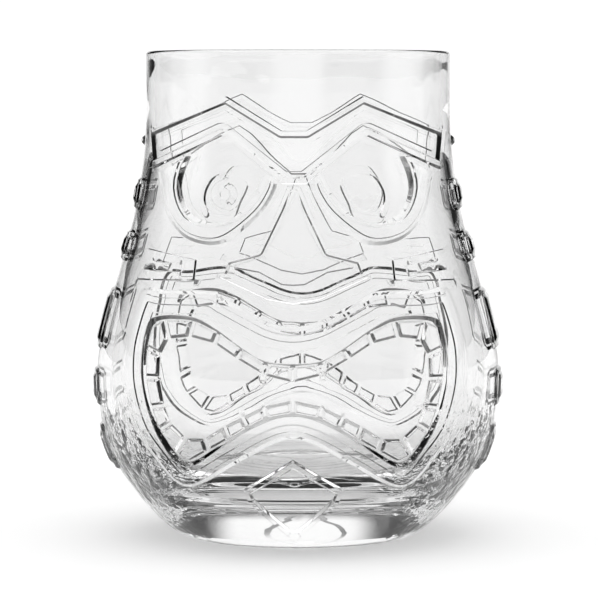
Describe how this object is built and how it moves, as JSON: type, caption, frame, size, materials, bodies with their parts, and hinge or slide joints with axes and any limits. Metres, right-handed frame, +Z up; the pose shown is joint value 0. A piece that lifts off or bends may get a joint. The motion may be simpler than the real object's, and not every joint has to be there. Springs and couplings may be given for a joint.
{
  "type": "tiki tumbler",
  "caption": "Clear pressed-glass tiki tumbler: straight rim, round belly and thick base, with a carved-style face in relief front and back.",
  "frame": {"origin": "centre of the foot, on the surface that the tumbler stands on", "axes": "+Z up along the tumbler's axis, -Y towards the front face, +X to the right seen from the front"},
  "size_m": [0.1026, 0.1024, 0.1207],
  "materials": {
    "clear_glass": "polished clear, slightly wavy as pressed"
  },
  "bodies": {
    "root": {"glass_tumbler": "clear_glass"}
  },
  "joints": []
}
